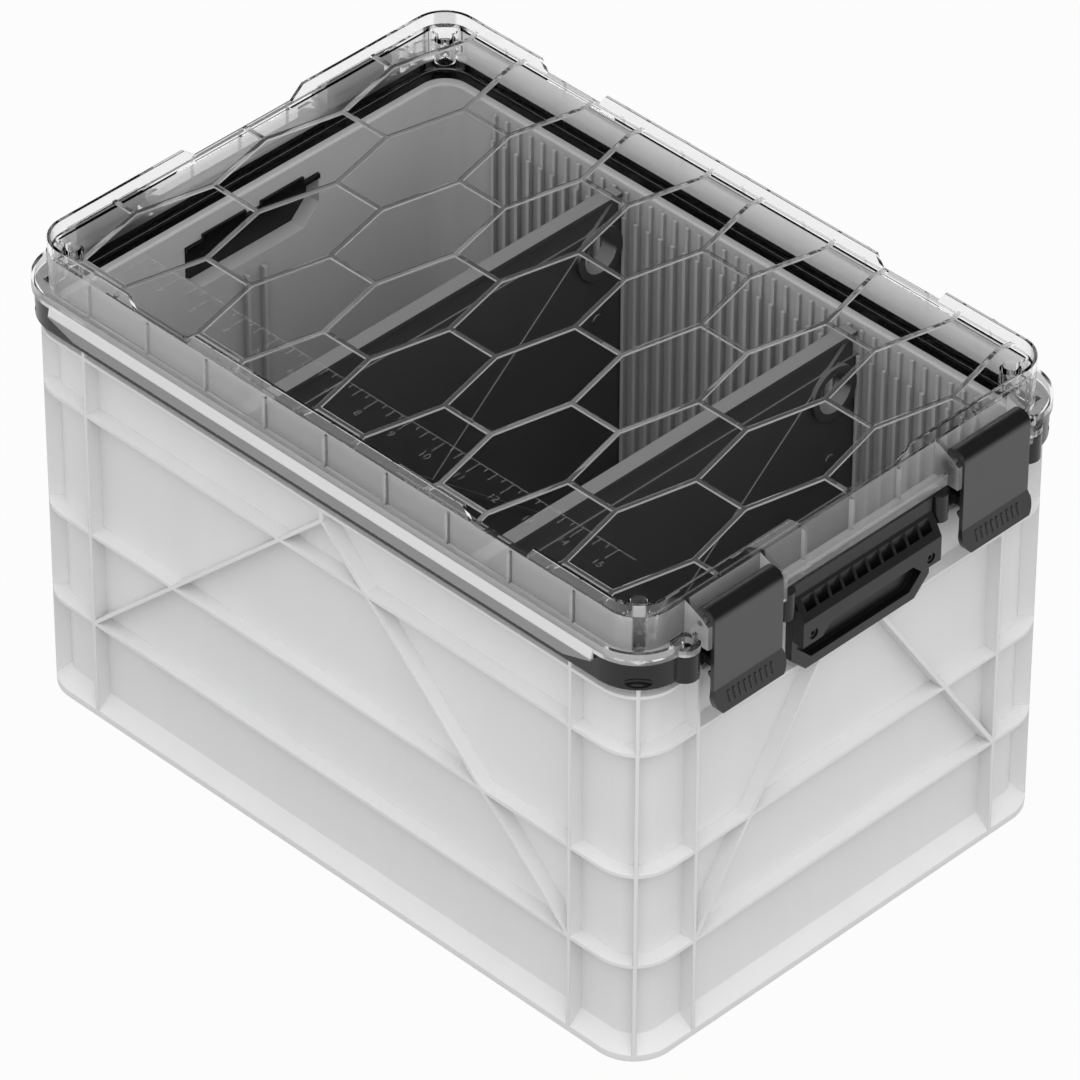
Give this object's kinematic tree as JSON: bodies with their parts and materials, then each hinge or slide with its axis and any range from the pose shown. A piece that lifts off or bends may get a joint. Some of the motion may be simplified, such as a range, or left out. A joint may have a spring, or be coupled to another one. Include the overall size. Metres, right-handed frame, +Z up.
{
  "type": "storage crate",
  "caption": "Ribbed storage crate with a clear hexagon-ribbed lid, swing latches, end handles, a black rim frame and lift-out dividers standing in a slotted comb.",
  "frame": {"origin": "centre of the crate's base", "axes": "+X along the crate towards its front end, +Y across it, +Z up"},
  "size_m": [0.505, 0.335, 0.3075],
  "materials": {
    "crate_plastic": "light grey moulded polypropylene, satin",
    "frame_plastic": "black moulded plastic, half gloss",
    "gasket_rubber": "grey sealing rubber",
    "clear_plastic": "clear moulded polycarbonate",
    "latch_plastic": "black moulded plastic, satin",
    "pin_steel": "plain steel",
    "handle_plastic": "black moulded plastic, satin",
    "screw_steel": "blackened steel",
    "divider_plastic": "black moulded plastic, matt"
  },
  "bodies": {
    "crate": {"crate_body": "crate_plastic", "rim_frame": "frame_plastic", "gasket": "gasket_rubber", "handle_shroud_front": "handle_plastic", "handle_shroud_rear": "handle_plastic", "handle_grip_front": "handle_plastic", "handle_grip_rear": "handle_plastic", "handle_screws_front": "screw_steel", "handle_screws_rear": "screw_steel"},
    "lid": {"lid": "clear_plastic", "latch_pin_front_left": "pin_steel", "latch_pin_front_right": "pin_steel", "latch_pin_rear_left": "pin_steel", "latch_pin_rear_right": "pin_steel"},
    "divider_front": {"divider_front": "divider_plastic"},
    "divider_rear": {"divider_rear": "divider_plastic"},
    "latch_front_left": {"latch_front_left": "latch_plastic"},
    "latch_front_right": {"latch_front_right": "latch_plastic"},
    "latch_rear_left": {"latch_rear_left": "latch_plastic"},
    "latch_rear_right": {"latch_rear_right": "latch_plastic"}
  },
  "joints": [
    {"name": "lid_lift", "type": "slide", "parent": "crate", "child": "lid", "axis": [0, 0, 1], "range_m": [0, 0.15]},
    {"name": "latch_front_left_swing", "type": "hinge", "parent": "lid", "child": "latch_front_left", "pos_m": [0.241, -0.094, 0.2905], "axis": [0, -1, 0], "range_deg": [0, 110]},
    {"name": "latch_front_right_swing", "type": "hinge", "parent": "lid", "child": "latch_front_right", "pos_m": [0.241, 0.094, 0.2905], "axis": [0, -1, 0], "range_deg": [0, 110]},
    {"name": "latch_rear_left_swing", "type": "hinge", "parent": "lid", "child": "latch_rear_left", "pos_m": [-0.2395, -0.094, 0.2842], "axis": [0, 1, 0], "range_deg": [0, 110]},
    {"name": "latch_rear_right_swing", "type": "hinge", "parent": "lid", "child": "latch_rear_right", "pos_m": [-0.2395, 0.094, 0.2842], "axis": [0, 1, 0], "range_deg": [0, 110]},
    {"name": "divider_front_lift", "type": "slide", "parent": "crate", "child": "divider_front", "axis": [0, 0, 1], "range_m": [0, 0.03]},
    {"name": "divider_rear_lift", "type": "slide", "parent": "crate", "child": "divider_rear", "axis": [0, 0, 1], "range_m": [0, 0.03]}
  ]
}
